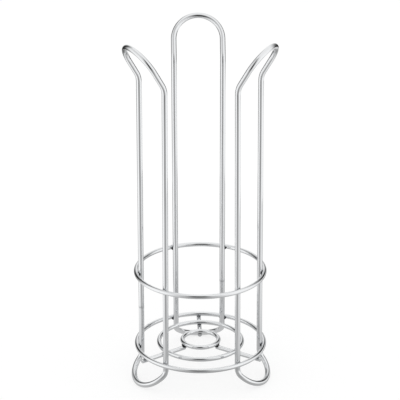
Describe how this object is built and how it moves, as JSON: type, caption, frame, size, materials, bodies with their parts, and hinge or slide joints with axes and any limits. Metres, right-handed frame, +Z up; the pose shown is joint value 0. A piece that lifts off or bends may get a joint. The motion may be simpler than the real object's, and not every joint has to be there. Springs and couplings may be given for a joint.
{
  "type": "freestanding toilet paper holder",
  "caption": "Freestanding chrome wire stand that keeps a stack of spare toilet rolls between flared upright loops, on a base grille of rings and spokes.",
  "frame": {"origin": "centre of the bottom of the object's box, on the floor", "axes": "+Z up; +Y towards the back loop; +X to the right as seen from the front; the stand's own vertical axis passes through x = 0, y = -0.0056 m"},
  "size_m": [0.153, 0.1519, 0.368],
  "materials": {
    "chrome_wire": "polished chrome plate on drawn steel wire",
    "chrome_weld": "chrome plate over weld metal, duller than the wire"
  },
  "bodies": {
    "root": {"back_loop": "chrome_wire", "left_loop": "chrome_wire", "right_loop": "chrome_wire", "upper_ring": "chrome_wire", "lower_ring": "chrome_wire", "middle_ring": "chrome_wire", "inner_ring": "chrome_wire", "back_spoke": "chrome_wire", "left_spoke": "chrome_wire", "right_spoke": "chrome_wire", "weld_upper_ring_back_leg_a": "chrome_weld", "weld_upper_ring_back_leg_b": "chrome_weld", "weld_upper_ring_left_leg_a": "chrome_weld", "weld_upper_ring_left_leg_b": "chrome_weld", "weld_upper_ring_right_leg_a": "chrome_weld", "weld_upper_ring_right_leg_b": "chrome_weld", "weld_lower_ring_back_leg_a": "chrome_weld", "weld_lower_ring_back_leg_b": "chrome_weld", "weld_lower_ring_left_leg_a": "chrome_weld", "weld_lower_ring_left_leg_b": "chrome_weld", "weld_lower_ring_right_leg_a": "chrome_weld", "weld_lower_ring_right_leg_b": "chrome_weld", "weld_lower_ring_back_spoke": "chrome_weld", "weld_lower_ring_left_spoke": "chrome_weld", "weld_lower_ring_right_spoke": "chrome_weld", "weld_middle_ring_back_spoke": "chrome_weld", "weld_middle_ring_left_spoke": "chrome_weld", "weld_middle_ring_right_spoke": "chrome_weld", "weld_inner_ring_back_spoke": "chrome_weld", "weld_inner_ring_left_spoke": "chrome_weld", "weld_inner_ring_right_spoke": "chrome_weld"}
  },
  "joints": []
}
